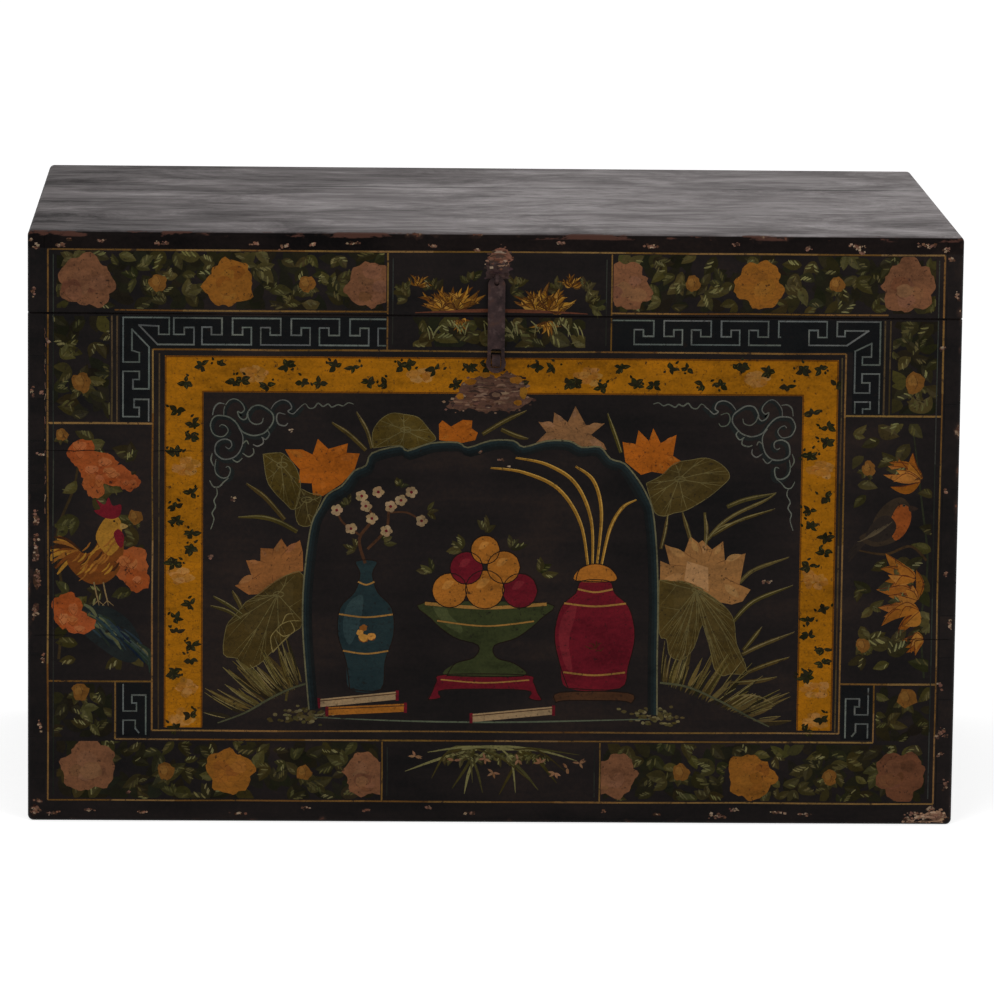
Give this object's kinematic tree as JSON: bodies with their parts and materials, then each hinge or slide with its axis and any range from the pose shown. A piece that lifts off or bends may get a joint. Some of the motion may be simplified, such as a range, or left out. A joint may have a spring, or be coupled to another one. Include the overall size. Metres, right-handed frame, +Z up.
{
  "type": "lacquered chest",
  "caption": "Black lacquered wooden chest with painted panels, a hinged shallow box lid, an iron hasp over a lock staple and iron bail handles.",
  "frame": {"origin": "middle of the chest's underside, where its walls stand on the floor", "axes": "+Z up, +X along the width to the right as seen from the front, +Y from the front to the back, so the hasp faces -Y"},
  "size_m": [0.9176, 0.5873, 0.578],
  "materials": {
    "painted_board": "black lacquer, semi-gloss, worn at the edges",
    "bottom_wood": "plain aged softwood",
    "wrought_iron": "forged, dark brown patina"
  },
  "bodies": {
    "box": {"front_lower_board": "painted_board", "front_middle_board": "painted_board", "front_upper_board": "painted_board", "back_lower_board": "painted_board", "back_upper_board": "painted_board", "left_lower_board": "painted_board", "left_upper_board": "painted_board", "right_lower_board": "painted_board", "right_upper_board": "painted_board", "bottom_front_board": "bottom_wood", "bottom_middle_board": "bottom_wood", "bottom_rear_board": "bottom_wood", "lock_staple": "wrought_iron", "left_hinge_lower_leaf": "wrought_iron", "right_hinge_lower_leaf": "wrought_iron", "left_hinge_pin": "wrought_iron", "right_hinge_pin": "wrought_iron", "lower_hinge_nails": "wrought_iron", "left_handle_eyes": "wrought_iron", "right_handle_eyes": "wrought_iron"},
    "lid": {"lid_front_rail": "painted_board", "lid_rear_rail": "painted_board", "lid_left_rail": "painted_board", "lid_right_rail": "painted_board", "lid_front_plank": "painted_board", "lid_middle_plank": "painted_board", "lid_rear_plank": "painted_board", "hasp_eye": "wrought_iron", "left_hinge_upper_leaf": "wrought_iron", "right_hinge_upper_leaf": "wrought_iron", "upper_hinge_nails": "wrought_iron"},
    "hasp": {"hasp_strap": "wrought_iron"},
    "left_bail": {"left_handle": "wrought_iron"},
    "right_bail": {"right_handle": "wrought_iron"}
  },
  "joints": [
    {"name": "lid_hinge", "type": "hinge", "parent": "box", "child": "lid", "pos_m": [0, 0.2849, 0.498], "axis": [-1, 0, 0], "range_deg": [0, 180]},
    {"name": "hasp_swing", "type": "hinge", "parent": "lid", "child": "hasp", "pos_m": [0, -0.2859, 0.535], "axis": [-1, 0, 0], "range_deg": [0, 180]},
    {"name": "left_handle_swing", "type": "hinge", "parent": "box", "child": "left_bail", "pos_m": [-0.4545, 0, 0.33], "axis": [0, 1, 0], "range_deg": [0, 180]},
    {"name": "right_handle_swing", "type": "hinge", "parent": "box", "child": "right_bail", "pos_m": [0.4545, 0, 0.33], "axis": [0, -1, 0], "range_deg": [0, 180]}
  ]
}
